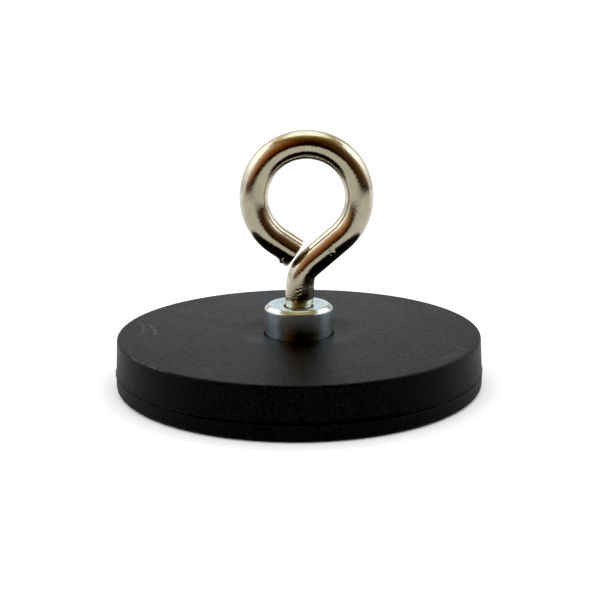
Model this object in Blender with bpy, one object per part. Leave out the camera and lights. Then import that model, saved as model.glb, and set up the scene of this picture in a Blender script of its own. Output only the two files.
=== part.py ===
"""Rubber-coated disc magnet with a screwed-in eye bolt, the kind that is thrown on a rope.

Metres, +Z up. The origin is the centre of the rubber face that the magnet stands on.
Inside the rubber, six disc magnets lie under a round steel back plate. A threaded bush is riveted into
the plate, and the eye bolt, which is one bent and thread-rolled wire, screws into the bush.
The eye bolt turns about the Z axis, where its origin is.
"""

import math

import bmesh
import bpy
from mathutils import Matrix, Vector

MM = 0.001
GAP = 0.1 * MM  # clearance between pieces that touch on the real magnet

# Rubber coating: a pad below the seam and a cover above it
DISC_R = 21.5 * MM  # at the seam, where the two halves meet in a low bead
DISC_H = 6.0 * MM
SEAM_Z = 2.0 * MM
BEAD_H = 0.45 * MM  # height of each half's side of the bead
PAD_R = 21.45 * MM
PAD_CORNER = 0.6 * MM
COVER_R = 21.38 * MM  # just above the bead
TOP_R = 21.22 * MM
TOP_CORNER = 0.3 * MM
DISH_R = 7.5 * MM  # the top sinks a little towards the bush
DISH_DEPTH = 0.25 * MM
FLOOR = 0.8 * MM  # rubber under the magnets
REGISTER_R = 19.0 * MM  # the pad's raised step, which the cover's skirt fits over

# Disc magnets, in a ring with the poles alternating
MAGNET_COUNT = 6
MAGNET_R = 5.5 * MM
MAGNET_T = 2.1 * MM
MAGNET_RING_R = 12.4 * MM
MAGNET_CHAMFER = 0.25 * MM

# Steel back plate
PLATE_R = REGISTER_R - GAP
PLATE_T = 1.5 * MM
PLATE_HOLE_R = 3.0 * MM
RIVET_SINK = 0.6 * MM  # depth and extra radius of the hole's countersink

# Threaded bush
BUSH_R = 4.0 * MM
BUSH_RISE = 3.25 * MM  # above the rim of the rubber's top
BUSH_CHAMFER = 0.5 * MM
COUNTERSINK_R = 2.6 * MM
COUNTERSINK_H = 0.25 * MM
BUSH_LIP_R = 1.78 * MM  # narrower than the bolt's thread, so the bolt can't lift out
BUSH_LIP_H = 0.35 * MM

# M4 thread
PITCH = 0.7 * MM
THREAD_CORE_R = 1.6 * MM
THREAD_DEPTH = 0.37 * MM
RIDGE_STEEPNESS = 1.6  # of a ridge that would otherwise be a plain triangle
RIDGE_ROOT = 0.3  # share of the height that the root's flat takes
TIP_SHARE = 0.75  # radius of the bolt's tip over the core's
TIP_H = 0.25 * MM
TIP_LAND_H = 0.1 * MM
BORE_R = 2.06 * MM  # crests of the bush's thread, cut oversize so that the bolt turns clear of it

# Eye bolt
WIRE_R = 1.67 * MM
FOOT_R = 1.6 * MM
FOOT_H = 0.75 * MM
EYE_R = 6.03 * MM  # to the middle of the wire
EYE_X = 0.99 * MM
EYE_Z = 21.74 * MM
SHANK_ANGLE = math.radians(86.3)  # the shank leans a little in its thread
LEAD_ANGLE = math.radians(40.6)  # slope of the straight wire between the neck and the eye
END_ANGLE = math.radians(-34.1)  # slope of the wire's cut end
END_RUN = 2.56 * MM
END_EDGE = 0.12 * MM
NECK_BEND_R = 4.0 * MM
NECK_THINNING = 0.05 * MM
FORWARD_LEAN = math.radians(2.2)  # the shank leans a little to the front, out of the eye's own plane
LEAN_END_Z = 13.3 * MM
BOLT_END_GAP = 0.2 * MM  # between the bolt's tip and the level of the plate's underside

# Levels that follow from the sizes above
MAGNET_Z = FLOOR + GAP
LAND_Z = MAGNET_Z + MAGNET_T
PLATE_Z = LAND_Z + GAP
PLATE_TOP_Z = PLATE_Z + PLATE_T
CEILING_Z = PLATE_TOP_Z + GAP
BUSH_TOP_Z = DISC_H + BUSH_RISE
BUSH_FOOT_Z = PLATE_Z + GAP / 2
BORE_TOP_Z = BUSH_TOP_Z - COUNTERSINK_H - BUSH_LIP_H
THREAD_TOP_Z = BORE_TOP_Z - GAP
BOLT_TIP_Z = PLATE_Z + BOLT_END_GAP

# Facets
DISC_SEGMENTS = 72
PLATE_SEGMENTS = 48
MAGNET_SEGMENTS = 24
BUSH_SEGMENTS = 24
WIRE_SEGMENTS = 20
THREAD_ROWS_PER_PITCH = 5
FOOT_STEPS = 4
NECK_STEPS = 8
EYE_STEP = math.radians(7.5)
SMOOTH_ANGLE = math.radians(35)


def clear_scene():
    for obj in list(bpy.data.objects):
        bpy.data.objects.remove(obj)


def principled(name, color, roughness, metallic):
    material = bpy.data.materials.new(name)
    material.use_nodes = True
    shader = material.node_tree.nodes["Principled BSDF"]
    shader.inputs["Base Color"].default_value = (*color, 1.0)
    shader.inputs["Roughness"].default_value = roughness
    shader.inputs["Metallic"].default_value = metallic
    return material


def make_object(name, mesh, material, location=(0, 0, 0)):
    if not mesh.materials:
        mesh.materials.append(material)
    mesh.shade_smooth()
    mesh.set_sharp_from_angle(angle=SMOOTH_ANGLE)
    obj = bpy.data.objects.new(name, mesh)
    obj.location = location
    bpy.context.scene.collection.objects.link(obj)
    return obj


def arc(centre_r, centre_z, radius, start, end, steps):
    """Points (r, z) on an arc, with its angles in degrees from the +r direction."""
    angles = [math.radians(start + (end - start) * i / steps) for i in range(steps + 1)]
    return [(centre_r + radius * math.cos(a), centre_z + radius * math.sin(a)) for a in angles]


def turned_mesh(name, outline, segments):
    """A closed (r, z) outline, spun about the Z axis. One that starts and ends on the axis gives a disc."""
    mesh = bpy.data.meshes.new(name)
    bm = bmesh.new()
    points = [bm.verts.new((r, 0, z)) for r, z in outline]
    on_axis = outline[0][0] == 0 and outline[-1][0] == 0
    pairs = list(zip(points, points[1:]))
    if not on_axis:
        pairs.append((points[-1], points[0]))
    edges = [bm.edges.new(pair) for pair in pairs]
    bmesh.ops.spin(
        bm, geom=points + edges, cent=(0, 0, 0), axis=(0, 0, 1), angle=2 * math.pi,
        steps=segments, use_merge=True,
    )
    bmesh.ops.remove_doubles(bm, verts=bm.verts, dist=1e-7)
    bmesh.ops.recalc_face_normals(bm, faces=bm.faces)
    bm.to_mesh(mesh)
    bm.free()
    return mesh


def ring_mesh(name, rings, closed):
    """A skin over rings of points. It is closed into a loop of rings, or its two ends are capped."""
    mesh = bpy.data.meshes.new(name)
    bm = bmesh.new()
    rows = [[bm.verts.new(point) for point in ring] for ring in rings]
    pairs = list(zip(rows, rows[1:]))
    if closed:
        pairs.append((rows[-1], rows[0]))
    for low, high in pairs:
        for i in range(len(low)):
            j = (i + 1) % len(low)
            bm.faces.new((low[i], low[j], high[j], high[i]))
    if not closed:
        bm.faces.new(reversed(rows[0]))
        bm.faces.new(rows[-1])
    bmesh.ops.recalc_face_normals(bm, faces=bm.faces)
    bm.to_mesh(mesh)
    bm.free()
    return mesh


def flat_ring(z, radius_at, segments):
    """A level ring of points at height z, where radius_at gives the radius at each angle."""
    angles = [2 * math.pi * i / segments for i in range(segments)]
    return [(radius_at(a) * math.cos(a), radius_at(a) * math.sin(a), z) for a in angles]


def smooth_step(value):
    value = min(1.0, max(0.0, value))
    return value * value * (3 - 2 * value)


def thread_ridge(z, angle, low, high):
    """0 in the root of a right-hand thread and 1 on its crest. The ridge runs out at both ends."""
    phase = (z / PITCH - angle / (2 * math.pi)) % 1.0
    triangle = 1 - abs(2 * phase - 1)
    ridge = min(1.0, max(0.0, RIDGE_STEEPNESS * triangle - RIDGE_ROOT))
    run_out = smooth_step((z - low) / PITCH) * smooth_step((high - z) / PITCH)
    return ridge * run_out


def thread_levels(low, high):
    steps = round((high - low) / PITCH * THREAD_ROWS_PER_PITCH)
    return [low + (high - low) * i / steps for i in range(steps + 1)]


# ---- Rubber coating ----


def pad_outline():
    rim = SEAM_Z - GAP / 2
    corner = arc(PAD_R - PAD_CORNER, PAD_CORNER, PAD_CORNER, -90, 0, 6)
    side = [(PAD_R, rim - BEAD_H), (DISC_R, rim)]
    step = [(REGISTER_R, rim), (REGISTER_R, LAND_Z), (0, LAND_Z)]
    return [(0, 0)] + corner + side + step


def magnet_places():
    """Where the middle of each magnet's underside is."""
    turn = 2 * math.pi / MAGNET_COUNT
    return [
        Matrix.Rotation(turn * i, 4, "Z") @ Vector((MAGNET_RING_R, 0, MAGNET_Z))
        for i in range(MAGNET_COUNT)
    ]


def pocket_cutter():
    """Six plugs that cut the magnets' pockets into the pad, open at the top."""
    mesh = bpy.data.meshes.new("pocket_cutter")
    bm = bmesh.new()
    depth = 2 * (LAND_Z - FLOOR)
    for place in magnet_places():
        middle = Vector((place.x, place.y, FLOOR + depth / 2))
        bmesh.ops.create_cone(
            bm, cap_ends=True, segments=MAGNET_SEGMENTS, radius1=MAGNET_R + GAP,
            radius2=MAGNET_R + GAP, depth=depth, matrix=Matrix.Translation(middle),
        )
    bm.to_mesh(mesh)
    bm.free()
    cutter = bpy.data.objects.new("pocket_cutter", mesh)
    cutter.hide_render = True
    cutter.display_type = "WIRE"
    bpy.context.scene.collection.objects.link(cutter)
    return cutter


def build_pad(material):
    mesh = turned_mesh("rubber_base_pad", pad_outline(), DISC_SEGMENTS)
    pad = make_object("rubber_base_pad", mesh, material)
    pockets = pad.modifiers.new("magnet_pockets", "BOOLEAN")
    pockets.operation = "DIFFERENCE"
    pockets.solver = "EXACT"
    pockets.object = pocket_cutter()


def cover_outline():
    skirt_z = SEAM_Z + GAP / 2
    skirt_r = REGISTER_R + GAP
    hole_r = BUSH_R + GAP
    side = [(DISC_R, skirt_z), (COVER_R, skirt_z + BEAD_H)]
    corner = arc(TOP_R - TOP_CORNER, DISC_H - TOP_CORNER, TOP_CORNER, 0, 90, 3)
    middle = ((DISH_R + hole_r) / 2, DISC_H - DISH_DEPTH / 2)
    hole = [(DISH_R, DISC_H), middle, (hole_r, DISC_H - DISH_DEPTH), (hole_r, CEILING_Z)]
    cavity = [(skirt_r, CEILING_Z), (skirt_r, skirt_z)]
    return side + corner + hole + cavity


def build_cover(material):
    mesh = turned_mesh("rubber_top_cover", cover_outline(), DISC_SEGMENTS)
    make_object("rubber_top_cover", mesh, material)


# ---- Magnets and back plate ----


def build_magnets(material):
    mesh = bpy.data.meshes.new("disc_magnet")
    bm = bmesh.new()
    lift = Matrix.Translation((0, 0, MAGNET_T / 2))
    bmesh.ops.create_cone(
        bm, cap_ends=True, segments=MAGNET_SEGMENTS, radius1=MAGNET_R, radius2=MAGNET_R,
        depth=MAGNET_T, matrix=lift,
    )
    caps = [face for face in bm.faces if len(face.verts) == MAGNET_SEGMENTS]
    rims = [edge for face in caps for edge in face.edges]
    bmesh.ops.bevel(bm, geom=rims, offset=MAGNET_CHAMFER, segments=1, affect="EDGES")
    bm.to_mesh(mesh)
    bm.free()
    for number, place in enumerate(magnet_places(), start=1):
        make_object(f"disc_magnet_{number}", mesh, material, place)


def build_plate(material):
    top = PLATE_T
    outline = [
        (PLATE_HOLE_R + RIVET_SINK, 0),
        (PLATE_R, 0),
        (PLATE_R, top),
        (PLATE_HOLE_R, top),
        (PLATE_HOLE_R, RIVET_SINK),
    ]
    mesh = turned_mesh("steel_back_plate", outline, PLATE_SEGMENTS)
    make_object("steel_back_plate", mesh, material, (0, 0, PLATE_Z))


# ---- Bush ----


def bush_rings():
    """Rings up the outside of the bush, from its riveted foot to its top face, then down its bore."""
    spigot_r = PLATE_HOLE_R - GAP
    flare = RIVET_SINK - GAP / 2
    outside = [
        (BUSH_FOOT_Z, spigot_r + flare - GAP / 2),
        (BUSH_FOOT_Z + flare, spigot_r),
        (PLATE_TOP_Z + GAP, spigot_r),
        (PLATE_TOP_Z + GAP, BUSH_R),
        (BUSH_TOP_Z - BUSH_CHAMFER, BUSH_R),
        (BUSH_TOP_Z, BUSH_R - BUSH_CHAMFER),
        (BUSH_TOP_Z, COUNTERSINK_R),
        (BUSH_TOP_Z - COUNTERSINK_H, BUSH_LIP_R),
        (BORE_TOP_Z, BUSH_LIP_R),
    ]
    rings = [flat_ring(z, lambda angle, r=radius: r, BUSH_SEGMENTS) for z, radius in outside]
    low, high = BUSH_FOOT_Z, BORE_TOP_Z
    for z in reversed(thread_levels(low, high)):
        def surface(a, z=z):
            return BORE_R + THREAD_DEPTH * thread_ridge(z, a, low, high)
        rings.append(flat_ring(z, surface, BUSH_SEGMENTS))
    return rings


def build_bush(material):
    make_object("threaded_bush", ring_mesh("threaded_bush", bush_rings(), closed=True), material)


# ---- Eye bolt ----


def thread_rings():
    """The rolled thread, from the chamfered tip up to the neck below the bush's lip."""
    low, high = BOLT_TIP_Z, THREAD_TOP_Z
    tip = [(low, THREAD_CORE_R * TIP_SHARE), (low + TIP_H, THREAD_CORE_R)]
    rings = [flat_ring(z, lambda a, r=radius: r, WIRE_SEGMENTS) for z, radius in tip]
    for z in thread_levels(low + TIP_H + TIP_LAND_H, high)[1:]:
        def surface(a, z=z):
            return THREAD_CORE_R + THREAD_DEPTH * thread_ridge(z, a, low, high)
        rings.append(flat_ring(z, surface, WIRE_SEGMENTS))
    return rings


def along(heading):
    """The direction of the wire at this heading. The wire lies in the XZ plane."""
    return Vector((math.cos(heading), 0, math.sin(heading)))


def across(heading):
    """The direction square to the wire in the XZ plane, to its right."""
    return Vector((math.sin(heading), 0, -math.cos(heading)))


def shank_stations():
    """Stations (point, heading, wire radius) up the shank, whose foot swells to the wire's full size."""
    base = Vector((0, 0, THREAD_TOP_Z))
    lean = along(SHANK_ANGLE)
    stations = [(base + lean * GAP, SHANK_ANGLE, FOOT_R)]
    for i in range(FOOT_STEPS + 1):
        share = i / FOOT_STEPS
        radius = FOOT_R + (WIRE_R - FOOT_R) * math.sin(share * math.pi / 2)
        height = BUSH_TOP_Z + FOOT_H * share - THREAD_TOP_Z
        stations.append((base + lean * height, SHANK_ANGLE, radius))
    return stations


def neck_stations(eye):
    """The bend from the shank to the straight wire that leads into the eye."""
    base = Vector((0, 0, THREAD_TOP_Z))
    tangent = eye + EYE_R * across(LEAD_ANGLE)
    turn = SHANK_ANGLE - LEAD_ANGLE
    rise = (tangent - base).dot(across(LEAD_ANGLE)) / along(SHANK_ANGLE).dot(across(LEAD_ANGLE))
    corner = base + along(SHANK_ANGLE) * rise
    start = corner - along(SHANK_ANGLE) * NECK_BEND_R * math.tan(turn / 2)
    centre = start + across(SHANK_ANGLE) * NECK_BEND_R
    stations = []
    for i in range(NECK_STEPS + 1):
        heading = SHANK_ANGLE - turn * i / NECK_STEPS
        thinning = NECK_THINNING * math.sin(math.pi * i / NECK_STEPS)
        stations.append((centre - across(heading) * NECK_BEND_R, heading, WIRE_R - thinning))
    return stations


def eye_headings():
    """Headings round the eye, in even steps up to its top and from there to its end."""
    headings = [LEAD_ANGLE]
    for goal in (math.pi, 2 * math.pi + END_ANGLE):
        start = headings[-1]
        steps = round((goal - start) / EYE_STEP)
        headings += [start + (goal - start) * (i + 1) / steps for i in range(steps)]
    return headings


def eye_stations(eye):
    stations = [(eye + EYE_R * across(heading), heading, WIRE_R) for heading in eye_headings()]
    last = eye + EYE_R * across(END_ANGLE)
    stations.append((last + along(END_ANGLE) * (END_RUN - END_EDGE), END_ANGLE, WIRE_R))
    stations.append((last + along(END_ANGLE) * END_RUN, END_ANGLE, WIRE_R - END_EDGE))
    return stations


def leaning(point):
    """The same point with the shank's slight lean to the front, which stops at the neck."""
    rise = min(point.z, LEAN_END_Z) - THREAD_TOP_Z
    return Vector((point.x, point.y - math.tan(FORWARD_LEAN) * rise, point.z))


def wire_rings():
    eye = Vector((EYE_X, 0, EYE_Z))
    rings = []
    for point, heading, radius in shank_stations() + neck_stations(eye) + eye_stations(eye):
        side = across(heading)
        depth = Vector((0, 1, 0))
        angles = [2 * math.pi * i / WIRE_SEGMENTS for i in range(WIRE_SEGMENTS)]
        middle = leaning(point)
        rings.append([middle + radius * (side * math.cos(a) + depth * math.sin(a)) for a in angles])
    return rings


def build_eye_bolt(material):
    rings = thread_rings() + wire_rings()
    make_object("eye_bolt", ring_mesh("eye_bolt", rings, closed=False), material)


def main():
    clear_scene()
    rubber = principled("black_rubber", (0.035, 0.035, 0.034), 0.62, 0.0)
    nickel = principled("nickel_plated_steel", (0.72, 0.67, 0.58), 0.16, 1.0)
    zinc = principled("zinc_plated_steel", (0.70, 0.76, 0.78), 0.28, 1.0)
    plate_steel = principled("back_plate_steel", (0.50, 0.52, 0.54), 0.40, 1.0)
    magnet_nickel = principled("magnet_nickel", (0.66, 0.65, 0.62), 0.20, 1.0)
    build_pad(rubber)
    build_cover(rubber)
    build_magnets(magnet_nickel)
    build_plate(plate_steel)
    build_bush(zinc)
    build_eye_bolt(nickel)


main()
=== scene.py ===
"""The look of a rubber-coated disc magnet with a screwed-in eye bolt, standing on a white floor.

Metres, +Z up, in the frame of the CAD parts. Each visible piece is modelled again here with a finer
surface. The hidden back plate and disc magnets are the CAD parts themselves, with better materials.
"""

import math
import random

import bmesh
import bpy
from mathutils import Matrix, Vector, noise


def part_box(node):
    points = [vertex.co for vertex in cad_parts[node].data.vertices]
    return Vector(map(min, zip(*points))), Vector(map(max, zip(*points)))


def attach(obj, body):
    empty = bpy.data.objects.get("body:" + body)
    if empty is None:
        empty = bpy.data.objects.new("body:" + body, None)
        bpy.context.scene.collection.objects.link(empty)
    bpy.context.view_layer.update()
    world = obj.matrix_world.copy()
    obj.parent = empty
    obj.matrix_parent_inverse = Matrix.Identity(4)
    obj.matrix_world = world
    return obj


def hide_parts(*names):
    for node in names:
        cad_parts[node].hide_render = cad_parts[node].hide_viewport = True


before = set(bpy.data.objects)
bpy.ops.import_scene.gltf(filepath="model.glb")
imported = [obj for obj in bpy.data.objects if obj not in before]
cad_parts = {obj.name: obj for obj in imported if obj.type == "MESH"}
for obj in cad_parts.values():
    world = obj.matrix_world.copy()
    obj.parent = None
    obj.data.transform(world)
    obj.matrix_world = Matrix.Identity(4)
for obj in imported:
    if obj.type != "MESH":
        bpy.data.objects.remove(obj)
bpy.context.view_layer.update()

MM = 0.001

# The lowest and highest corners of the CAD pieces give the heights that the finer pieces share
COVER_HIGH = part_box("rubber_top_cover")[1]
BOLT_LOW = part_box("eye_bolt")[0]
BUSH_LOW, BUSH_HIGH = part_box("threaded_bush")
PLATE_LOW, PLATE_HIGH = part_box("steel_back_plate")

GAP = 0.1 * MM  # between pieces that touch

# Rubber coating
DISC_R = 21.5 * MM
DISC_H = COVER_HIGH.z
SEAM_Z = 2.0 * MM
SEAM_GAP = 0.08 * MM
SEAM_ROUND = 0.02 * MM  # the rounding of both mouldings' edges at the seam
DISH_R = 7.5 * MM  # the top sinks a little towards the bush
DISH_DEPTH = 0.25 * MM
BEAD_H = 0.45 * MM  # how far the seam's bulge reaches up and down
PAD_CENTRE_R = 1.0 * MM  # the innermost ring of the pad's two flat faces
PAD_R = 21.45 * MM
PAD_CORNER = 0.6 * MM
COVER_R = 21.38 * MM
TOP_R = 21.22 * MM
TOP_CORNER = 0.3 * MM
REGISTER_R = 19.0 * MM
LAND_Z = PLATE_LOW.z - GAP
CEILING_Z = PLATE_HIGH.z + GAP
FLOOR = 0.8 * MM  # the rubber left under the magnets

# Marks on the rubber
SCUFFS = (  # thin curved scuffs on the top, in mm: middle x, middle y, half length, centre x, centre y
    (-18.5, 1.4, 3.9, -30.85, -0.6),
    (-17.1, 0.7, 3.0, -25.9, -1.7),
    (16.35, -11.25, 1.5, 11.2, -0.4),
    (17.85, -7.95, 1.5, 9.1, -12.9),
)
SCUFF_EDGE = (0.2 * MM, 0.05 * MM)  # a scuff fades in between these distances from its middle line
PAINTED_RIM_SPAN = (-19.0 * MM, -12.5 * MM)  # from this x to this one, the top's rim is painted lighter: a painted highlight
# the colour of the painted highlight on the top's rim
RIM_HIGHLIGHT_COLOR = (0.09, 0.09, 0.085)

# Disc magnets
MAGNET_COUNT = 6
MAGNET_R = 5.5 * MM
MAGNET_RING_R = 12.4 * MM

# Bush
PLATE_HOLE_R = 3.0 * MM
RIVET_SINK = 0.6 * MM
BUSH_R = 4.0 * MM
BUSH_TOP_Z = BUSH_HIGH.z
BUSH_FOOT_Z = BUSH_LOW.z
BUSH_CHAMFER = 0.5 * MM
BUSH_LOW_ROUND = 0.3 * MM  # rounding of the chamfer's two edges
BUSH_HIGH_ROUND = 0.45 * MM
COUNTERSINK_R = 2.6 * MM
COUNTERSINK_H = 0.25 * MM
BUSH_LIP_R = 1.78 * MM
BUSH_LIP_H = 0.35 * MM
BORE_R = 2.06 * MM
BORE_TOP_Z = BUSH_TOP_Z - COUNTERSINK_H - BUSH_LIP_H

# Thread
PITCH = 0.7 * MM
THREAD_CORE_R = 1.6 * MM
THREAD_DEPTH = 0.37 * MM
RIDGE_STEEPNESS = 1.6
RIDGE_ROOT = 0.3

# Eye bolt
WIRE_R = 1.67 * MM
FOOT_R = 1.6 * MM
FOOT_H = 0.75 * MM
EYE_R = 6.03 * MM
EYE = Vector((0.99 * MM, 0, 21.74 * MM))
SHANK_ANGLE = math.radians(86.3)
LEAD_ANGLE = math.radians(40.6)
END_ANGLE = math.radians(-34.1)
END_RUN = 2.56 * MM
END_EDGE = 0.12 * MM
NECK_BEND_R = 4.0 * MM
FORWARD_LEAN = math.radians(2.2)  # the shank leans a little to the front, out of the eye's own plane
LEAN_END_Z = 13.3 * MM
BOLT_TIP_Z = BOLT_LOW.z
THREAD_TOP_Z = BORE_TOP_Z - GAP

# Camera
LENS = 66.72  # in mm, as the next one
SENSOR = 36
CAMERA_PLACE = (0.16 * MM, -126.387 * MM, 40.457 * MM)
CAMERA_TILT = 13.70  # degrees down from level
CAMERA_ROLL = -0.41  # degrees

# Studio. Angles are in degrees, and light is relative to the white floor
CEILING_STOPS = (  # from the horizon to overhead, in front of the magnet
    (6, (0.010, 0.005, 0.002)),
    (20, (0.014, 0.006, 0.002)),
    (33, (0.045, 0.020, 0.006)),
    (47, (0.110, 0.052, 0.016)),
    (56, (0.170, 0.095, 0.028)),
    (64, (0.270, 0.190, 0.055)),
    (74, (0.560, 0.470, 0.200)),
    (80, (1.150, 1.100, 0.700)),
    (86, (2.150, 2.250, 1.850)),
)
FLOOR_REACH = 80 * MM
FLOOR_SHADE_STOPS = (  # painted shade on the floor that reflections see, across that reach, from in front of the magnet's middle to behind it: darker and warmer in front
    (0.0, (0.45, 0.435, 0.385)),
    (0.5, (0.50, 0.50, 0.47)),
    (0.62, (0.58, 0.59, 0.58)),
    (1.0, (0.70, 0.73, 0.74)),
)
FRONT_BROWN = (0.075, 0.038, 0.017)  # low in front, on both sides of the dark middle
BLACK_LEVEL = 0.0042
ROOM_LIGHT = 0.78  # brings the painted room to the strength that the nickel needs
SKY_LIGHT = 1.5  # the white light from all round that falls on the rubber and the floor
DOME_R = 600 * MM
DOME_LOWEST = -3  # elevation of the dome's lower edge
FLOOR_HALF = 3.0
FLOOR_DEPTH = 0.02 * MM  # how far the white floor lies under the magnet
FLOOR_FRONT = 200 * MM
APRON_HALF = (0.6, 0.25)  # half its width and half its depth
APRON_Z = 0.5 * MM
SOFTBOX_TOP = 51
BACK_WALL = (0.97, 1.0, 1.04)
LOW_SIDES = (1.0, 0.97, 0.92)
LEFT_BOX = (-107, 35)  # azimuth of the middle, half width
RIGHT_BOX = (104, 32)
LEFT_GLOW = ((0.95, 0.75, 0.65), (40, 31, 25))  # strength and reach in degrees of red, green and blue
RIGHT_GLOW = ((0.50, 0.47, 0.38), (22, 21, 20))

# Marks on the wire
CREASE_SHARPNESS = 0.85
DENTS = (  # in mm: the place, size, depth and height of the rim
    ((3.75, -1.45, 15.5), 0.26, 0.16, 0.07),
    ((3.45, -1.45, 15.42), 0.16, 0.05, 0.03),
    ((-2.84, -1.2, 28.2), 0.13, 0.07, 0.03),
    ((-2.5, -1.3, 28.3), 0.1, 0.04, 0.02),
)
PIT_COUNT = 14
PIT_X = (-1.0, 0.35)  # in mm, as the next two
PIT_Z = (9.8, 11.7)
PIT_SIZE = (0.06, 0.11)
SLOW_WAVES = 0.016 * MM
DRAWN_RIDGES = 0.0035 * MM
WIRE_UNDERSIZE = 0.008 * MM  # keeps the waves in the wire inside its full radius
BURR_ANGLE = math.radians(-20)  # round the wire, from the lower side of the end towards the front
BURR_SPREAD = 0.45  # radians
BURR_LENGTH = 1.5 * MM
BURR_HEIGHT = 0.5 * MM
WORN_PLACE = Vector((-0.35, -1.7, 10.6)) * MM
WORN_SPREAD = Vector((0.75, 1.0, 0.95)) * MM

# Fineness
DISC_SEGMENTS = 288
BUSH_SEGMENTS = 144
WIRE_SEGMENTS = 96
WIRE_STEP = 0.1 * MM
THREAD_ROWS_PER_PITCH = 12
SMOOTH_ANGLE = math.radians(35)


# ---- Scene helpers ----


def make_camera():
    """The camera stands low in front of the magnet and looks slightly down at it."""
    data = bpy.data.cameras.new("camera")
    data.sensor_width = SENSOR
    data.lens = LENS
    data.clip_start = 0.001
    data.clip_end = 10
    camera = bpy.data.objects.new("camera", data)
    camera.matrix_world = (
        Matrix.Translation(CAMERA_PLACE)
        @ Matrix.Rotation(math.radians(90 - CAMERA_TILT), 4, "X")
        @ Matrix.Rotation(math.radians(CAMERA_ROLL), 4, "Z")
    )
    bpy.context.scene.collection.objects.link(camera)
    bpy.context.scene.camera = camera


def add_object(name, mesh, material):
    mesh.materials.append(material)
    mesh.shade_smooth()
    mesh.set_sharp_from_angle(angle=SMOOTH_ANGLE)
    obj = bpy.data.objects.new(name, mesh)
    bpy.context.scene.collection.objects.link(obj)
    return obj


def arc(centre_r, centre_z, radius, start, end, steps):
    """Points (r, z) on an arc, with its angles in degrees from the +r direction."""
    angles = [math.radians(start + (end - start) * i / steps) for i in range(steps + 1)]
    return [(centre_r + radius * math.cos(a), centre_z + radius * math.sin(a)) for a in angles]


def divided(points, step):
    """The same outline with its long stretches divided into steps no longer than this."""
    fine = [points[0]]
    for start, end in zip(points, points[1:]):
        count = max(1, math.ceil(math.dist(start, end) / step))
        for i in range(1, count + 1):
            share = i / count
            fine.append(tuple(a + (b - a) * share for a, b in zip(start, end)))
    return fine


def smooth_step(value):
    value = min(1.0, max(0.0, value))
    return value * value * (3 - 2 * value)


def skin(name, rings, loop=False):
    """A skin over rings of points. Fans close its two ends, or its last ring joins its first."""
    mesh = bpy.data.meshes.new(name)
    bm = bmesh.new()
    rows = [[bm.verts.new(point) for point in ring] for ring in rings]
    pairs = list(zip(rows, rows[1:]))
    if loop:
        pairs.append((rows[-1], rows[0]))
    for low, high in pairs:
        for i in range(len(low)):
            j = (i + 1) % len(low)
            bm.faces.new((low[i], low[j], high[j], high[i]))
    if not loop:
        for row in (rows[0], rows[-1]):
            middle = bm.verts.new(sum((vert.co for vert in row), Vector()) / len(row))
            for i in range(len(row)):
                bm.faces.new((row[i], row[(i + 1) % len(row)], middle))
    bmesh.ops.recalc_face_normals(bm, faces=bm.faces)
    bm.to_mesh(mesh)
    bm.free()
    return mesh


def level_ring(z, radius_at, segments):
    """A ring round the Z axis, whose radius is a function of the angle."""
    angles = [2 * math.pi * i / segments for i in range(segments)]
    return [(radius_at(a) * math.cos(a), radius_at(a) * math.sin(a), z) for a in angles]


def round_noise(angle, per_turn, seed):
    """Noise between about -1 and 1 that closes on itself after one turn."""
    radius = per_turn / (2 * math.pi)
    return noise.noise(Vector((math.cos(angle) * radius, math.sin(angle) * radius, seed)))


# ---- Materials ----


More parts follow.
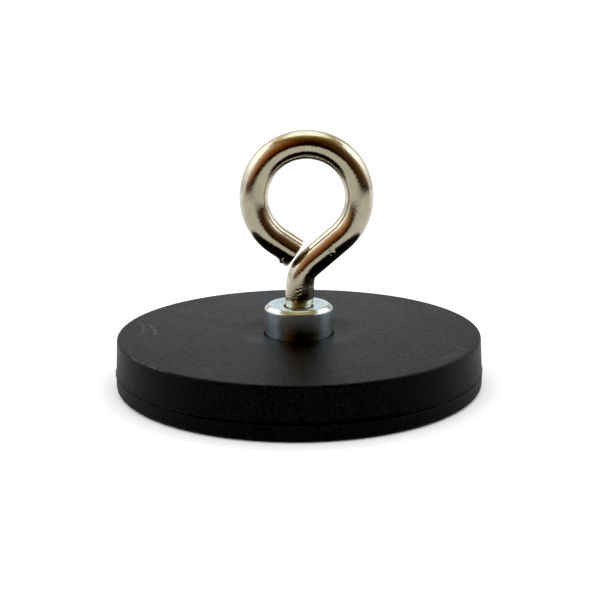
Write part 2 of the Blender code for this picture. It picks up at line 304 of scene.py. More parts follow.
class Finish:
    """A Principled material and the nodes that vary its look over the surface."""

    def __init__(self, name, color, roughness, metallic):
        self.material = bpy.data.materials.new(name)
        self.material.use_nodes = True
        self.tree = self.material.node_tree
        self.shader = self.tree.nodes["Principled BSDF"]
        self.shader.inputs["Base Color"].default_value = (*color, 1)
        self.shader.inputs["Roughness"].default_value = roughness
        self.shader.inputs["Metallic"].default_value = metallic
        self.last_bump = None

    def node(self, kind, links=None, values=None, **settings):
        made = self.tree.nodes.new(kind)
        for key, value in settings.items():
            setattr(made, key, value)
        for key, value in (values or {}).items():
            made.inputs[key].default_value = value
        for key, socket in (links or {}).items():
            self.tree.links.new(socket, made.inputs[key])
        return made

    def place(self, attribute=None):
        """The point that textures are read at: the piece's own coordinates, or a stored attribute."""
        if attribute is None:
            return self.node("ShaderNodeTexCoord").outputs["Object"]
        return self.node("ShaderNodeAttribute", attribute_name=attribute).outputs["Vector"]

    def stretched(self, place, scale):
        return self.node("ShaderNodeMapping", {"Vector": place}, {"Scale": scale}).outputs["Vector"]

    def turned(self, place):
        """Coordinates that change with height and distance from the Z axis, but not round it."""
        parts = self.node("ShaderNodeSeparateXYZ", {"Vector": place}).outputs
        flat = self.node("ShaderNodeCombineXYZ", {"X": parts["X"], "Y": parts["Y"]}).outputs["Vector"]
        reach = self.node("ShaderNodeVectorMath", {0: flat}, operation="LENGTH").outputs["Value"]
        made = self.node("ShaderNodeCombineXYZ", {"X": reach, "Z": parts["Z"]})
        return made.outputs["Vector"]

    def distance(self, place, x, y):
        """How far a point is from a place on the disc's top, whose x and y are in mm."""
        top = (x * MM, y * MM, DISC_H)
        made = self.node("ShaderNodeVectorMath", {0: place}, {1: top}, operation="DISTANCE")
        return made.outputs["Value"]

    def scuffs(self, place, arcs):
        """1 on thin curved scuffs and 0 elsewhere."""
        total = None
        for x, y, half, centre_x, centre_y in arcs:
            radius = math.dist((x, y), (centre_x, centre_y)) * MM
            off = self.math("SUBTRACT", self.distance(place, centre_x, centre_y), radius)
            line = self.remap(self.math("ABSOLUTE", off, 0.0), *SCUFF_EDGE, 0.0, 1.0)
            ends = self.remap(self.distance(place, x, y), half * MM, 0.6 * half * MM, 0.0, 1.0)
            line = self.math("MULTIPLY", line, ends)
            total = line if total is None else self.math("MAXIMUM", total, line)
        broken = self.remap(self.noise(place, 1.5, detail=3.0), 0.38, 0.52, 0.15, 1.0)
        return self.math("MULTIPLY", total, broken)

    def noise(self, place, per_mm, detail=3.0, roughness=0.55):
        values = {"Scale": per_mm / MM, "Detail": detail, "Roughness": roughness}
        return self.node("ShaderNodeTexNoise", {"Vector": place}, values).outputs["Fac"]

    def specks(self, place, per_mm):
        """The distance to the nearest of many scattered points, 0 in the middle of a speck."""
        made = self.node("ShaderNodeTexVoronoi", {"Vector": place}, {"Scale": per_mm / MM})
        return made.outputs["Distance"]

    def remap(self, value, low, high, to_low, to_high):
        """Eases from to_low to to_high as the value goes from low to high."""
        values = {"From Min": low, "From Max": high, "To Min": to_low, "To Max": to_high}
        made = self.node("ShaderNodeMapRange", {"Value": value}, values, interpolation_type="SMOOTHSTEP")
        return made.outputs["Result"]

    def math(self, operation, first, second):
        links, values = {}, {}
        for index, operand in enumerate((first, second)):
            if isinstance(operand, (int, float)):
                values[index] = operand
            else:
                links[index] = operand
        return self.node("ShaderNodeMath", links, values, operation=operation).outputs["Value"]

    def colors(self, value, stops):
        """A colour ramp with (position, colour) stops."""
        made = self.node("ShaderNodeValToRGB", {"Fac": value})
        ramp = made.color_ramp
        while len(ramp.elements) < len(stops):
            ramp.elements.new(0.5)
        for element, (position, color) in zip(ramp.elements, stops):
            element.position = position
            element.color = (*color, 1)
        return made.outputs["Color"]

    def blend(self, share, first, second):
        """Mixes two colours by a share. Each is a socket or a plain colour."""
        made = self.node("ShaderNodeMix", {0: share}, data_type="RGBA")
        for index, color in ((6, first), (7, second)):
            if isinstance(color, tuple):
                made.inputs[index].default_value = (*color, 1)
            else:
                self.tree.links.new(color, made.inputs[index])
        return made.outputs[2]

    def bump(self, height, strength, distance):
        """Adds a layer of bump, distance in metres for a height of 1."""
        values = {"Strength": strength, "Distance": distance}
        links = {"Height": height}
        if self.last_bump is not None:
            links["Normal"] = self.last_bump
        self.last_bump = self.node("ShaderNodeBump", links, values).outputs["Normal"]
        self.tree.links.new(self.last_bump, self.shader.inputs["Normal"])

    def drive(self, socket_name, value):
        self.tree.links.new(value, self.shader.inputs[socket_name])

    def settings(self, **values):
        for key, value in values.items():
            self.shader.inputs[key.replace("_", " ")].default_value = value


def rubber_finish():
    """Black moulded rubber: a fine mottled grain, a dull sheen, faint scuffs, a little dust and a painted
    highlight on the top's rim.
    """
    finish = Finish("black_rubber", (0.003, 0.003, 0.003), 0.4, 0.0)
    finish.settings(IOR=1.162)
    place = finish.place()
    grain = finish.noise(place, 3.4, detail=3.0, roughness=0.65)
    fine = finish.noise(place, 12.0, detail=2.0)
    broad = finish.noise(place, 0.25, detail=4.0)
    color = finish.colors(grain, [(0.3, (0.0006, 0.0006, 0.0006)), (0.7, (0.0042, 0.0042, 0.0042))])
    scuffs = finish.scuffs(place, SCUFFS)
    speck_size = finish.remap(broad, 0.5, 0.7, 0.0, 0.08)
    dust = finish.math("LESS_THAN", finish.specks(place, 0.45), speck_size)
    pale = finish.math("MAXIMUM", finish.math("MULTIPLY", scuffs, 0.5), finish.math("MULTIPLY", dust, 0.6))
    # the top's rim gets a painted highlight, lighter in broken patches
    pale = finish.math("MAXIMUM", pale, painted_rim_highlight(finish, place))
    finish.drive("Base Color", finish.blend(pale, color, RIM_HIGHLIGHT_COLOR))
    mottle = finish.remap(grain, 0.3, 0.7, -0.06, 0.06)
    finish.drive("Roughness", finish.math("ADD", mottle, finish.remap(broad, 0.35, 0.65, 0.37, 0.39)))
    finish.bump(grain, 1.0, 0.06 * MM)
    finish.bump(fine, 0.5, 0.008 * MM)
    finish.bump(scuffs, 0.5, 0.02 * MM)
    return finish.material


def painted_rim_highlight(finish, place):
    """How much painted highlight the cover's top edge gets, in broken patches on its left front."""
    radius = finish.node("ShaderNodeSeparateXYZ", {"Vector": finish.turned(place)}).outputs["X"]
    parts = finish.node("ShaderNodeSeparateXYZ", {"Vector": place}).outputs
    rim = finish.math(
        "MULTIPLY",
        finish.remap(radius, TOP_R - 0.34 * MM, TOP_R - 0.24 * MM, 0.0, 1.0),
        finish.remap(parts["Z"], DISC_H - 0.16 * MM, DISC_H - 0.08 * MM, 0.0, 1.0),
    )
    start, end = PAINTED_RIM_SPAN
    stretch = finish.math(
        "MULTIPLY",
        finish.remap(parts["X"], start, start + MM, 0.0, 1.0),
        finish.remap(parts["X"], end, end - MM, 0.0, 1.0),
    )
    patches = finish.remap(finish.noise(place, 0.6, detail=5.0, roughness=0.7), 0.4, 0.55, 0.0, 0.4)
    return finish.math("MULTIPLY", finish.math("MULTIPLY", rim, stretch), patches)


def nickel_finish():
    """Nickel-plated wire: drawing marks along it, a fine peel, pits, stains and a brassy worn spot."""
    finish = Finish("nickel_plated_steel", (0.60, 0.55, 0.45), 0.12, 1.0)
    place = finish.place("straight")
    drawn = finish.noise(finish.stretched(place, (0.04, 1, 1)), 4.0, detail=3.0)
    haze = finish.noise(place, 0.8, detail=3.0)
    peel = finish.noise(place, 5.5, detail=2.0, roughness=0.6)
    grain = finish.noise(place, 8.0, detail=3.0, roughness=0.7)
    pits = finish.remap(finish.specks(place, 2.6), 0.16, 0.05, 0.0, 1.0)
    clean = finish.colors(haze, [(0.35, (0.56, 0.51, 0.415)), (0.65, (0.63, 0.58, 0.48))])
    stained = finish.remap(grain, 0.56, 0.72, 0.0, 0.75)
    worn = finish.node("ShaderNodeAttribute", attribute_name="worn").outputs["Fac"]
    brassy = finish.math("MULTIPLY", worn, finish.remap(peel, 0.40, 0.58, 0.0, 0.9))
    color = finish.blend(stained, clean, (0.36, 0.28, 0.18))
    color = finish.blend(brassy, color, (0.42, 0.33, 0.15))
    finish.drive("Base Color", color)
    dull = finish.math("MULTIPLY", stained, 0.25)
    finish.drive("Roughness", finish.math("ADD", finish.remap(haze, 0.3, 0.7, 0.07, 0.12), dull))
    finish.bump(drawn, 0.5, 0.004 * MM)
    finish.bump(peel, 1.0, 0.011 * MM)
    finish.bump(pits, -0.5, 0.012 * MM)
    return finish.material


def zinc_side_finish():
    """Bright zinc plating over a turned side, whose fine rings spread reflections up and down."""
    finish = Finish("zinc_plated_side", (0.40, 0.48, 0.53), 0.21, 1.0)
    finish.settings(Anisotropic=0.95, Anisotropic_Rotation=0.25)
    place = finish.place()
    haze = finish.noise(place, 0.9, detail=3.0)
    rows = finish.noise(finish.turned(place), 7.0, detail=3.0, roughness=0.7)
    color = finish.colors(rows, [(0.35, (0.34, 0.41, 0.46)), (0.65, (0.47, 0.55, 0.60))])
    finish.drive("Base Color", color)
    finish.drive("Roughness", finish.remap(haze, 0.3, 0.7, 0.19, 0.24))
    round_axis = finish.node("ShaderNodeTangent", direction_type="RADIAL", axis="Z").outputs["Tangent"]
    finish.drive("Tangent", round_axis)
    finish.bump(rows, 0.6, 0.012 * MM)
    finish.bump(haze, 0.1, 0.02 * MM)
    return finish.material


def zinc_face_finish():
    """The bush's top face: smoother than its side, with faint rings and a blue-green tint."""
    finish = Finish("zinc_plated_face", (0.62, 0.72, 0.75), 0.14, 1.0)
    place = finish.place()
    haze = finish.noise(place, 1.4, detail=3.0)
    turned = finish.turned(place)
    radius = finish.node("ShaderNodeSeparateXYZ", {"Vector": turned}).outputs["X"]
    outer = finish.remap(radius, 3.3 * MM, 2.9 * MM, 0.0, 1.0)
    inner = finish.remap(radius, 1.9 * MM, 2.3 * MM, 0.0, 1.0)
    middle = finish.math("MULTIPLY", outer, inner)
    patch = finish.math("MULTIPLY", middle, finish.remap(haze, 0.35, 0.6, 0.2, 1.0))
    finish.drive("Base Color", finish.blend(patch, (0.60, 0.68, 0.70), (0.42, 0.58, 0.58)))
    finish.drive("Roughness", finish.remap(haze, 0.3, 0.7, 0.10, 0.20))
    rows = finish.noise(turned, 5.0, detail=3.0, roughness=0.65)
    finish.bump(rows, 0.5, 0.008 * MM)
    finish.bump(haze, 0.2, 0.01 * MM)
    return finish.material


def steel_finish():
    """Bare pressed steel of the hidden back plate, with a rolled grain and a few darker patches."""
    finish = Finish("back_plate_steel", (0.5, 0.52, 0.54), 0.4, 1.0)
    place = finish.place()
    rolled = finish.noise(finish.stretched(place, (0.06, 1, 1)), 3.0, detail=4.0)
    patches = finish.noise(place, 0.2, detail=4.0)
    color = finish.colors(patches, [(0.35, (0.42, 0.43, 0.44)), (0.65, (0.55, 0.57, 0.59))])
    finish.drive("Base Color", color)
    finish.drive("Roughness", finish.remap(rolled, 0.3, 0.7, 0.32, 0.48))
    finish.bump(rolled, 0.4, 0.01 * MM)
    return finish.material


def magnet_finish():
    """Nickel coating on the sintered magnets: a slight orange peel and small dull spots."""
    finish = Finish("magnet_nickel", (0.66, 0.65, 0.62), 0.2, 1.0)
    place = finish.place()
    peel = finish.noise(place, 1.6, detail=3.0)
    spots = finish.remap(finish.specks(place, 1.1), 0.2, 0.05, 0.0, 1.0)
    color = finish.blend(spots, (0.66, 0.65, 0.62), (0.45, 0.44, 0.42))
    finish.drive("Base Color", color)
    finish.drive("Roughness", finish.remap(peel, 0.3, 0.7, 0.15, 0.3))
    finish.bump(peel, 0.3, 0.01 * MM)
    return finish.material


# ---- Rubber coating ----


def disc_rings(outline, ripple):
    """Rings round the Z axis through (r, z) points, each moved by ripple(r, z, angle) -> (dr, dz)."""
    rings = []
    angles = [2 * math.pi * i / DISC_SEGMENTS for i in range(DISC_SEGMENTS)]
    for r, z in outline:
        ring = []
        for a in angles:
            dr, dz = ripple(r, z, a)
            ring.append(((r + dr) * math.cos(a), (r + dr) * math.sin(a), z + dz))
        rings.append(ring)
    return rings


def side_ripple(r, z, angle):
    """Slight waves in the moulded side, and a seam whose flash comes and goes."""
    if r < COVER_R - TOP_CORNER:
        return 0.0, 0.0
    wave = 0.02 * MM * (round_noise(angle, 14, z / MM * 0.3) - 0.6)
    near_seam = math.exp(-((z - SEAM_Z) / (0.16 * MM)) ** 2)
    flash = 0.07 * MM * near_seam * (round_noise(angle, 120, 3.0) - 0.5)
    return min(0.0, wave * (1 - near_seam) + flash), 0.0


def pad_outline():
    """The pad's section, from the middle of its underside round to the middle of its upper face."""
    rim = SEAM_Z - SEAM_GAP / 2
    bottom = divided([(PAD_CENTRE_R, 0), (PAD_R - PAD_CORNER, 0)], 1.2 * MM)
    corner = arc(PAD_R - PAD_CORNER, PAD_CORNER, PAD_CORNER, -90, 0, 12)
    side = [
        (PAD_R, PAD_CORNER),
        (PAD_R, rim - BEAD_H),
        (PAD_R + 0.01 * MM, rim - 0.18 * MM),
        (DISC_R, rim - SEAM_ROUND),
    ]
    step = [(DISC_R - SEAM_ROUND, rim), (REGISTER_R, rim), (REGISTER_R, LAND_Z), (PAD_CENTRE_R, LAND_Z)]
    return bottom + corner[1:] + divided(side, 0.12 * MM)[1:] + step


def pocket_plugs():
    """Six plugs that cut the magnets' pockets into the pad."""
    mesh = bpy.data.meshes.new("pocket_plugs")
    bm = bmesh.new()
    depth = 2 * (LAND_Z - FLOOR)
    for i in range(MAGNET_COUNT):
        turn = Matrix.Rotation(2 * math.pi * i / MAGNET_COUNT, 4, "Z")
        middle = turn @ Vector((MAGNET_RING_R, 0, FLOOR + depth / 2))
        bmesh.ops.create_cone(
            bm, cap_ends=True, segments=64, radius1=MAGNET_R + GAP, radius2=MAGNET_R + GAP,
            depth=depth, matrix=Matrix.Translation(middle),
        )
    bm.to_mesh(mesh)
    bm.free()
    plugs = bpy.data.objects.new("pocket_plugs", mesh)
    plugs.hide_render = True
    bpy.context.scene.collection.objects.link(plugs)
    return plugs


def cut_with(obj, cutter):
    """Cuts the cutter's shape out of the object for good and removes the cutter."""
    cut = obj.modifiers.new("cut", "BOOLEAN")
    cut.operation = "DIFFERENCE"
    cut.solver = "EXACT"
    cut.object = cutter
    bpy.context.view_layer.update()
    graph = bpy.context.evaluated_depsgraph_get()
    obj.data = bpy.data.meshes.new_from_object(obj.evaluated_get(graph))
    obj.modifiers.clear()
    bpy.data.objects.remove(cutter)


def build_pad(material):
    mesh = skin("rubber_holding_pad", disc_rings(pad_outline(), side_ripple))
    pad = add_object("rubber_holding_pad", mesh, material)
    cut_with(pad, pocket_plugs())
    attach(pad, "magnet_base")
    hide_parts("rubber_base_pad")


def dish_z(r):
    """The height of the cover's top, which sinks a little towards the bush."""
    return DISC_H - DISH_DEPTH * smooth_step((DISH_R - r) / (DISH_R - BUSH_R))


def cover_outline():
    """The cover's section: up its side, over the top to the bush's hole, and back under its roof."""
    skirt_z = SEAM_Z + SEAM_GAP / 2
    skirt_r = REGISTER_R + GAP
    hole_r = BUSH_R + GAP
    side = [
        (DISC_R - SEAM_ROUND, skirt_z),
        (DISC_R, skirt_z + SEAM_ROUND),
        (COVER_R + 0.02 * MM, skirt_z + 0.2 * MM),
        (COVER_R, skirt_z + BEAD_H),
        (TOP_R, DISC_H - TOP_CORNER),
    ]
    corner = arc(TOP_R - TOP_CORNER, DISC_H - TOP_CORNER, TOP_CORNER, 0, 90, 10)
    top = divided([(TOP_R - TOP_CORNER, DISC_H), (DISH_R, DISC_H)], 0.5 * MM)
    dish = [(r, dish_z(r)) for r, _ in divided([(DISH_R, 0), (hole_r + 0.12 * MM, 0)], 0.15 * MM)]
    low = dish_z(hole_r)
    hole = [(hole_r + 0.04 * MM, low - 0.03 * MM), (hole_r, low - 0.12 * MM), (hole_r, CEILING_Z)]
    cavity = [(skirt_r, CEILING_Z), (skirt_r, skirt_z)]
    return divided(side, 0.15 * MM) + corner[1:] + top[1:] + dish[1:] + hole + cavity


def build_cover(material):
    mesh = skin("rubber_cover_moulding", disc_rings(cover_outline(), side_ripple), loop=True)
    cover = add_object("rubber_cover_moulding", mesh, material)
    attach(cover, "magnet_base")
    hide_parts("rubber_top_cover")


# ---- Bush ----


def thread_ridge(z, angle, low, high):
    """0 in the root of a right-hand thread and 1 on its crest. The ridge runs out at both ends."""
    phase = (z / PITCH - angle / (2 * math.pi)) % 1.0
    triangle = 1 - abs(2 * phase - 1)
    ridge = min(1.0, max(0.0, RIDGE_STEEPNESS * triangle - RIDGE_ROOT))
    return ridge * smooth_step((z - low) / PITCH) * smooth_step((high - z) / PITCH)


def thread_levels(low, high):
    """Heights close enough together to show a thread's ridges."""
    steps = round((high - low) / PITCH * THREAD_ROWS_PER_PITCH)
    return [low + (high - low) * i / steps for i in range(steps + 1)]


def bush_shoulder():
    """The bush's chamfer between its two rounded edges, from the side up to the top face."""
    short = math.sqrt(2) - 1
    low_z = BUSH_TOP_Z - BUSH_CHAMFER - BUSH_LOW_ROUND * short
    high_r = BUSH_R - BUSH_CHAMFER - BUSH_HIGH_ROUND * short
    low = arc(BUSH_R - BUSH_LOW_ROUND, low_z, BUSH_LOW_ROUND, 0, 45, 6)
    high = arc(high_r, BUSH_TOP_Z - BUSH_HIGH_ROUND, BUSH_HIGH_ROUND, 45, 90, 10)
    return low + divided([low[-1], high[0]], 0.08 * MM)[1:-1] + high


def bush_rings():
    """The bush from its riveted foot up its side, over its top and down its threaded bore."""
    spigot_r = PLATE_HOLE_R - GAP
    flare = RIVET_SINK - GAP / 2
    shoulder_z = PLATE_HIGH.z + GAP
    foot = [
        (spigot_r + flare - GAP / 2, BUSH_FOOT_Z),
        (spigot_r, BUSH_FOOT_Z + flare),
        (spigot_r, shoulder_z),
        (BUSH_R, shoulder_z),
    ]
    shoulder = bush_shoulder()
    side = divided([(BUSH_R, shoulder_z), shoulder[0]], 0.1 * MM)
    top = divided([shoulder[-1], (COUNTERSINK_R, BUSH_TOP_Z)], 0.15 * MM)
    lip = [(BUSH_LIP_R, BUSH_TOP_Z - COUNTERSINK_H), (BUSH_LIP_R, BORE_TOP_Z)]
    rings = []
    for r, z in foot + side[1:] + shoulder[1:] + top[1:] + lip:
        rings.append(level_ring(z, lambda a, r=r: r, BUSH_SEGMENTS))
    low, high = BUSH_FOOT_Z, BORE_TOP_Z
    for z in reversed(thread_levels(low, high)):
        def crest(a, z=z):
            return BORE_R + THREAD_DEPTH * thread_ridge(z, a, low, high)
        rings.append(level_ring(z, crest, BUSH_SEGMENTS))
    return rings


def build_bush(side_material, face_material):
    bush = add_object("zinc_bush", skin("zinc_bush", bush_rings(), loop=True), side_material)
    bush.data.materials.append(face_material)
    for polygon in bush.data.polygons:
        if polygon.normal.z > 0.5 and polygon.center.z > BUSH_TOP_Z - MM:
            polygon.material_index = 1
    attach(bush, "magnet_base")
    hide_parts("threaded_bush")


# ---- Eye bolt ----


def along(heading):
    """The direction of the wire at this heading. The wire lies in the XZ plane."""
    return Vector((math.cos(heading), 0, math.sin(heading)))


def across(heading):
    """The direction square to the wire in the XZ plane, to its right."""
    return Vector((math.sin(heading), 0, -math.cos(heading)))


def straight_stations(start, heading, length, radius_at):
    """Stations (point, heading, wire radius) along a straight run."""
    steps = max(1, round(length / WIRE_STEP))
    shares = [i / steps for i in range(steps + 1)]
    return [(start + along(heading) * (length * s), heading, radius_at(s)) for s in shares]


def bend_stations(centre, radius, start, end, wire_r_at):
    """Stations round a bend, whose centre is on the wire's left where the heading rises."""
    side = 1 if end > start else -1
    steps = max(1, round(abs(end - start) * radius / WIRE_STEP))
    stations = []
    for i in range(steps + 1):
        heading = start + (end - start) * i / steps
        stations.append((centre + across(heading) * (radius * side), heading, wire_r_at(i / steps)))
    return stations


def leaning(point):
    """The same point with the shank's slight lean to the front, which stops at the neck."""
    rise = min(point.z, LEAN_END_Z) - THREAD_TOP_Z
    return Vector((point.x, point.y - math.tan(FORWARD_LEAN) * rise, point.z))


def wire_stations():
    """The wire's middle line from the bush's lip to its cut end: (point, heading, radius, crease)."""
    base = Vector((0, 0, THREAD_TOP_Z))
    lean = along(SHANK_ANGLE)
    foot_z = BUSH_TOP_Z - THREAD_TOP_Z
    tangent = EYE + EYE_R * across(LEAD_ANGLE)
    turn = SHANK_ANGLE - LEAD_ANGLE
    rise = (tangent - base).dot(across(LEAD_ANGLE)) / lean.dot(across(LEAD_ANGLE))
    neck_start = rise - NECK_BEND_R * math.tan(turn / 2)
    neck_centre = base + lean * neck_start + across(SHANK_ANGLE) * NECK_BEND_R
    neck_end = neck_centre - across(LEAD_ANGLE) * NECK_BEND_R

    def foot(share):
        return FOOT_R

    def widening(share):
        return FOOT_R + (WIRE_R - FOOT_R) * math.sin(share * math.pi / 2)

    def full(share):
        return WIRE_R

    neck = bend_stations(neck_centre, NECK_BEND_R, SHANK_ANGLE, LEAD_ANGLE, full)
    last = EYE + EYE_R * across(END_ANGLE)
    runs = [
        straight_stations(base + lean * GAP, SHANK_ANGLE, foot_z - GAP, foot),
        straight_stations(base + lean * foot_z, SHANK_ANGLE, FOOT_H, widening),
        straight_stations(base + lean * (foot_z + FOOT_H), SHANK_ANGLE, neck_start - foot_z - FOOT_H, full),
        neck,
        straight_stations(neck_end, LEAD_ANGLE, (tangent - neck_end).length, full),
        bend_stations(EYE, EYE_R, LEAD_ANGLE, 2 * math.pi + END_ANGLE, full),
        straight_stations(last, END_ANGLE, END_RUN - END_EDGE, full),
    ]
    stations = []
    for run in runs:
        for i, (point, heading, radius) in enumerate(run):
            if i == 0 and stations:
                continue
            off_end = turn * min(i, len(run) - 1 - i) / (len(run) - 1)
            crease = neck_crease(off_end) if run is neck else 0.0
            stations.append((leaning(point), heading, radius, crease))
    return stations


def neck_crease(off_end):
    """How far the neck's inner side is sunk, so that its two straight sides almost meet in a corner."""
    return CREASE_SHARPNESS * (NECK_BEND_R - WIRE_R) * (1 / math.cos(off_end) - 1)


def crater(point, place, size, depth, rim):
    """How far a dent at this place moves the surface at this point: in at its middle, out at its rim."""
    far = (point - place).length / size
    if far > 3:
        return 0.0
    return -depth * math.exp(-far * far) + rim * math.exp(-(((far - 1.5) / 0.5) ** 2))


def surface_marks():
    """The dents and pits of this wire, as (place, size, depth, height of rim)."""
    marks = [(Vector(place) * MM, size * MM, depth * MM, rim * MM) for place, size, depth, rim in DENTS]
    chance = random.Random(4)
    for _ in range(PIT_COUNT):
        x = chance.uniform(*PIT_X)
        z = chance.uniform(*PIT_Z)
        y = -math.sqrt(max(0.1, (WIRE_R / MM) ** 2 - x * x)) - 0.05
        size = chance.uniform(*PIT_SIZE)
        marks.append((Vector((x, y, z)) * MM, size * MM, 0.35 * size * MM, 0.1 * size * MM))
    return marks


def wire_waviness(distance, angle):
    """The wire isn't perfectly round or straight: slow waves along it and drawing ridges round it."""
    slow = noise.noise(Vector((distance / MM * 0.28, math.cos(angle) * 0.8, math.sin(angle) * 0.8)))
    ridges = noise.noise(Vector((distance / MM * 0.06 + 9, math.cos(angle) * 5, math.sin(angle) * 5)))
    return SLOW_WAVES * slow + DRAWN_RIDGES * ridges - WIRE_UNDERSIZE


def burr(left, angle):
    """The torn lip on the lower side of the cut end. left is the distance still to go to the cut."""
    off = angle - BURR_ANGLE
    off = math.atan2(math.sin(off), math.cos(off))
    below = math.exp(-((off / BURR_SPREAD) ** 2))
    near = smooth_step((BURR_LENGTH - left) / (0.7 * MM))
    ragged = 0.5 + noise.noise(Vector((left / MM * 3.1, angle * 4.5, 2.0)))
    teeth = 0.4 + 0.9 * noise.noise(Vector((left / MM * 7.0, angle * 9.0, 5.0)))
    return BURR_HEIGHT * below * near * (0.55 * ragged + 0.45 * teeth)


def bolt_rings():
    """Rings of the whole bolt from the thread's tip to the cut end, with each ring's distance along it."""
    rings, distances = [], []
    low, high = BOLT_TIP_Z, THREAD_TOP_Z
    for z, share in ((low, 0.75), (low + 0.25 * MM, 1.0)):
        rings.append(level_ring(z, lambda a, share=share: THREAD_CORE_R * share, WIRE_SEGMENTS))
        distances.append(z - high)
    for z in thread_levels(low + 0.35 * MM, high)[1:]:
        def crest(a, z=z):
            return THREAD_CORE_R + THREAD_DEPTH * thread_ridge(z, a, low, high)
        rings.append(level_ring(z, crest, WIRE_SEGMENTS))
        distances.append(z - high)
    stations = wire_stations()
    reach = [0.0]
    for (before, *_), (after, *_) in zip(stations, stations[1:]):
        reach.append(reach[-1] + (after - before).length)
    marks = surface_marks()
    angles = [2 * math.pi * i / WIRE_SEGMENTS for i in range(WIRE_SEGMENTS)]
    for (middle, heading, radius, crease), distance in zip(stations, reach):
        near_marks = [mark for mark in marks if (mark[0] - middle).length < 2.6 * MM]
        in_hole = smooth_step((distance - 0.6 * MM) / MM)
        ring = []
        for a in angles:
            out = across(heading) * math.cos(a) + Vector((0, math.sin(a), 0))
            r = radius + wire_waviness(distance, a) * in_hole
            r -= crease * max(0.0, math.cos(a)) ** 3
            r += burr(reach[-1] - distance, a)
            r += sum(crater(middle + out * r, *mark) for mark in near_marks)
            ring.append(middle + out * r)
        rings.append(ring)
        distances.append(distance)
    return rings, distances


def end_rings(last_ring, distance):
    """Rings over the rounded rim of the cut end and in to the middle of its rough face."""
    end = along(END_ANGLE)
    centre = sum(last_ring, Vector()) / len(last_ring)
    rings, distances = [], []
    rim = [(math.pi / 2 * i / 6, 1.0) for i in range(1, 7)]
    face = [(math.pi / 2, 0.85 - 0.17 * i) for i in range(5)]
    for a, share in rim + face:
        shrink = (1 - END_EDGE / WIRE_R * (1 - math.cos(a))) * share
        ring = []
        for point in last_ring:
            out = point - centre
            rough = 0.03 * MM * (1 - share) * noise.noise(point / MM * 2.5)
            ring.append(centre + out * shrink + end * (END_EDGE * math.sin(a) + rough))
        rings.append(ring)
        distances.append(distance + END_EDGE * math.sin(a) + (1 - share) * WIRE_R)
    return rings, distances


def build_eye_bolt(material):
    rings, distances = bolt_rings()
    last_rings, last_distances = end_rings(rings[-1], distances[-1])
    rings += last_rings
    distances += last_distances
    mesh = skin("nickel_eye_bolt", rings)
    store_straight(mesh, distances)
    store_wear(mesh)
    bolt = add_object("nickel_eye_bolt", mesh, material)
    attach(bolt, "eye_bolt")
    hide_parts("eye_bolt")


def store_wear(mesh):
    """How worn the plating is at each vertex: most on the front of the shank, just above the bush."""
    attribute = mesh.attributes.new("worn", "FLOAT", "POINT")
    for index, vertex in enumerate(mesh.vertices):
        off = vertex.co - WORN_PLACE
        far = sum((part / spread) ** 2 for part, spread in zip(off, WORN_SPREAD))
        attribute.data[index].value = math.exp(-far)


def store_straight(mesh, distances):
    """Stores each vertex's place on the wire as if it were drawn out straight."""
    attribute = mesh.attributes.new("straight", "FLOAT_VECTOR", "POINT")
    for index, vertex in enumerate(mesh.vertices):
        row, k = divmod(index, WIRE_SEGMENTS)
        row = min(row, len(distances) - 1)
        a = 2 * math.pi * k / WIRE_SEGMENTS
        attribute.data[index].vector = (distances[row], WIRE_R * math.cos(a), WIRE_R * math.sin(a))


# ---- Studio ----


def ceiling_light(elevation):
    """The dim brown room in front of the magnet, which gets lighter towards the lamp overhead."""
    stops = CEILING_STOPS
    if elevation <= stops[0][0]:
        return Vector(stops[0][1])
    for (low, dim), (high, bright) in zip(stops, stops[1:]):
        if elevation <= high:
            return Vector(dim).lerp(Vector(bright), (elevation - low) / (high - low))
    return Vector(stops[-1][1])


def softbox(azimuth, elevation, middle, half_width):
    """How far a direction lies inside a softbox: 0 outside and 1 inside, with soft edges."""
    sides = smooth_step((half_width + 5 - abs(azimuth - middle)) / 10)
    top = smooth_step((SOFTBOX_TOP + 3 - elevation) / 6)
    return sides * top


def glow(outside, strength, reach):
    """The warm light that a softbox throws on the room beside it, some degrees outside its edge."""
    return Vector([s * math.exp(-((outside / r) ** 2)) for s, r in zip(strength, reach)])


def dome_color(azimuth, elevation):
    """What the studio shows in a direction, in degrees. Azimuth 0 is the front and 90 is +X."""
    spread = abs(azimuth)
    color = ceiling_light(elevation + 20 * smooth_step((spread - 30) / 110))
    low_front = smooth_step((elevation - 1) / 7) * smooth_step((44 - elevation) / 20)
    color = color + Vector(FRONT_BROWN) * (smooth_step((spread - 6) / 16) * low_front)
    high = smooth_step((elevation - 42) / 14)
    back = smooth_step((spread - 150 + 14 * high) / 28)
    color = color.lerp(Vector(BACK_WALL) * (1.2 + 1.0 * high), back)
    low_sides = smooth_step((spread - 78) / 20) * smooth_step((16 - elevation) / 12)
    color = color.lerp(Vector(LOW_SIDES), low_sides * (1 - back))
    lit = (0.2 + 0.8 * smooth_step((elevation - 4) / 15)) * smooth_step((64 - elevation) / 22)
    level = 1.0 + 1.5 * smooth_step((elevation - 2) / 34)
    if azimuth < 0:
        middle, half_width = LEFT_BOX
        color = color + glow(max(0, azimuth - middle - half_width), *LEFT_GLOW) * lit * (1 - back)
    else:
        middle, half_width = RIGHT_BOX
        cut = 0.45 * max(0, 36 - elevation)
        middle, half_width = middle + cut, half_width - cut / 2
        color = color + glow(max(0, middle - half_width - azimuth), *RIGHT_GLOW) * lit * (1 - back)
    inside = softbox(azimuth, elevation, middle, half_width)
    return color.lerp(Vector((level, level, 0.99 * level)), inside)


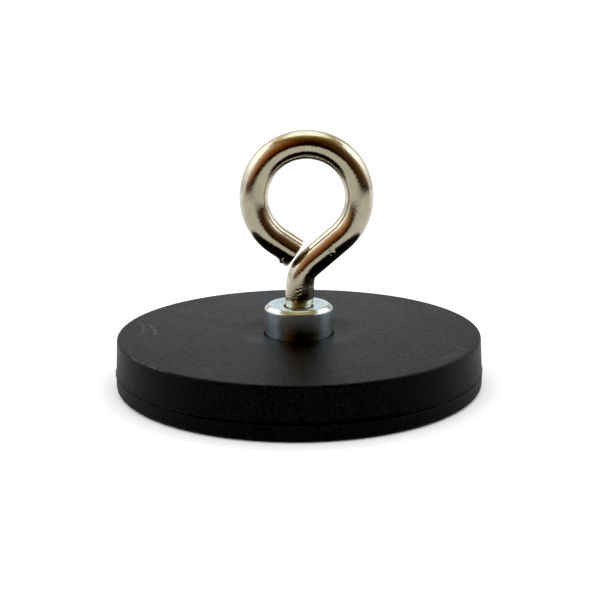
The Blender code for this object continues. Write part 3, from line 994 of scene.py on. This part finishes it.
def build_dome():
    """A painted dome that only reflections see."""
    columns, rows = 144, 48
    mesh = bpy.data.meshes.new("studio_dome")
    bm = bmesh.new()
    layer = bm.verts.layers.float_color.new("paint")
    grid = []
    for i in range(rows + 1):
        elevation = DOME_LOWEST + (90 - DOME_LOWEST) * i / rows
        ring = []
        for k in range(columns):
            azimuth = -180 + 360 * k / columns
            a, e = math.radians(azimuth), math.radians(elevation)
            place = Vector((math.sin(a) * math.cos(e), -math.cos(a) * math.cos(e), math.sin(e)))
            vert = bm.verts.new(place * DOME_R)
            vert[layer] = (*dome_color(azimuth, elevation), 1)
            ring.append(vert)
        grid.append(ring)
    for low, high in zip(grid, grid[1:]):
        for k in range(columns):
            j = (k + 1) % columns
            bm.faces.new((low[k], high[k], high[j], low[j]))
    bm.to_mesh(mesh)
    bm.free()
    only_reflected(add_object("studio_dome", mesh, dome_paint()))


def dome_paint():
    """A glow in the colours that the dome's points hold."""
    material = bpy.data.materials.new("studio_paint")
    material.use_nodes = True
    tree = material.node_tree
    tree.nodes.clear()
    paint = tree.nodes.new("ShaderNodeAttribute")
    paint.attribute_name = "paint"
    lamp = tree.nodes.new("ShaderNodeEmission")
    lamp.inputs["Strength"].default_value = ROOM_LIGHT
    output = tree.nodes.new("ShaderNodeOutputMaterial")
    tree.links.new(paint.outputs["Color"], lamp.inputs["Color"])
    tree.links.new(lamp.outputs["Emission"], output.inputs["Surface"])
    return material


def only_reflected(obj):
    """Part of the studio that shows in reflections and nowhere else."""
    obj.visible_camera = False
    obj.visible_diffuse = False
    obj.visible_shadow = False
    obj.visible_transmission = False


def build_apron():
    """The dark end of the room beyond the white floor's front edge, which only reflections see."""
    half_x, half_y = APRON_HALF
    mesh = bpy.data.meshes.new("floor_end")
    bm = bmesh.new()
    bmesh.ops.create_grid(bm, x_segments=2, y_segments=2, size=1.0)
    bmesh.ops.scale(bm, verts=bm.verts, vec=(half_x, half_y, 1))
    bmesh.ops.translate(bm, verts=bm.verts, vec=(0, -FLOOR_FRONT - half_y, APRON_Z))
    bm.to_mesh(mesh)
    bm.free()
    finish = Finish("dark_room", (0.03, 0.018, 0.01), 0.8, 0.0)
    finish.settings(Specular_IOR_Level=0.0)
    only_reflected(add_object("floor_end", mesh, finish.material))


def floor_plane(name, height, finish):
    """A wide level plane with a dull finish."""
    mesh = bpy.data.meshes.new(name)
    bm = bmesh.new()
    bmesh.ops.create_grid(bm, x_segments=2, y_segments=2, size=FLOOR_HALF)
    bm.to_mesh(mesh)
    bm.free()
    finish.settings(Specular_IOR_Level=0.0)
    plane = add_object(name, mesh, finish.material)
    plane.location.z = height
    return plane


def build_floor():
    """A white floor, and a copy that the metal reflects, with painted shade: darker and warmer in front
    than behind.
    """
    floor = floor_plane("floor", -FLOOR_DEPTH, Finish("floor", (0.9, 0.9, 0.9), 0.6, 0.0))
    floor.visible_glossy = False
    # the reflected floor is a darker copy of the white floor, with painted shade
    finish = Finish("reflected_floor", (0.5, 0.5, 0.47), 0.6, 0.0)
    depth = finish.node("ShaderNodeSeparateXYZ", {"Vector": finish.place()}).outputs["Y"]
    share = finish.remap(depth, -FLOOR_REACH, FLOOR_REACH, 0.0, 1.0)
    finish.drive("Base Color", finish.colors(share, FLOOR_SHADE_STOPS))
    only_reflected(floor_plane("reflected_floor", -FLOOR_DEPTH / 2, finish))


def light_studio():
    """White light from all round, and the picture's black level."""
    world = bpy.data.worlds.new("studio")
    world.use_nodes = True
    background = world.node_tree.nodes["Background"]
    background.inputs["Color"].default_value = (1.0, 1.0, 1.0, 1)
    background.inputs["Strength"].default_value = SKY_LIGHT
    scene = bpy.context.scene
    scene.world = world
    scene.view_settings.view_transform = "Standard"
    scene.view_settings.use_curve_mapping = True
    scene.view_settings.curve_mapping.black_level = (BLACK_LEVEL,) * 3
    scene.view_settings.curve_mapping.update()


def finish_hidden_parts():
    """The back plate and the disc magnets are shown as the CAD parts, with better materials."""
    plate_steel = steel_finish()
    magnet_nickel = magnet_finish()
    for name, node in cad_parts.items():
        if name.startswith("disc_magnet"):
            node.data.materials[0] = magnet_nickel
        if name == "steel_back_plate":
            node.data.materials[0] = plate_steel


make_camera()
light_studio()
build_floor()
build_apron()
build_dome()
rubber = rubber_finish()
build_pad(rubber)
build_cover(rubber)
build_bush(zinc_side_finish(), zinc_face_finish())
build_eye_bolt(nickel_finish())
finish_hidden_parts()
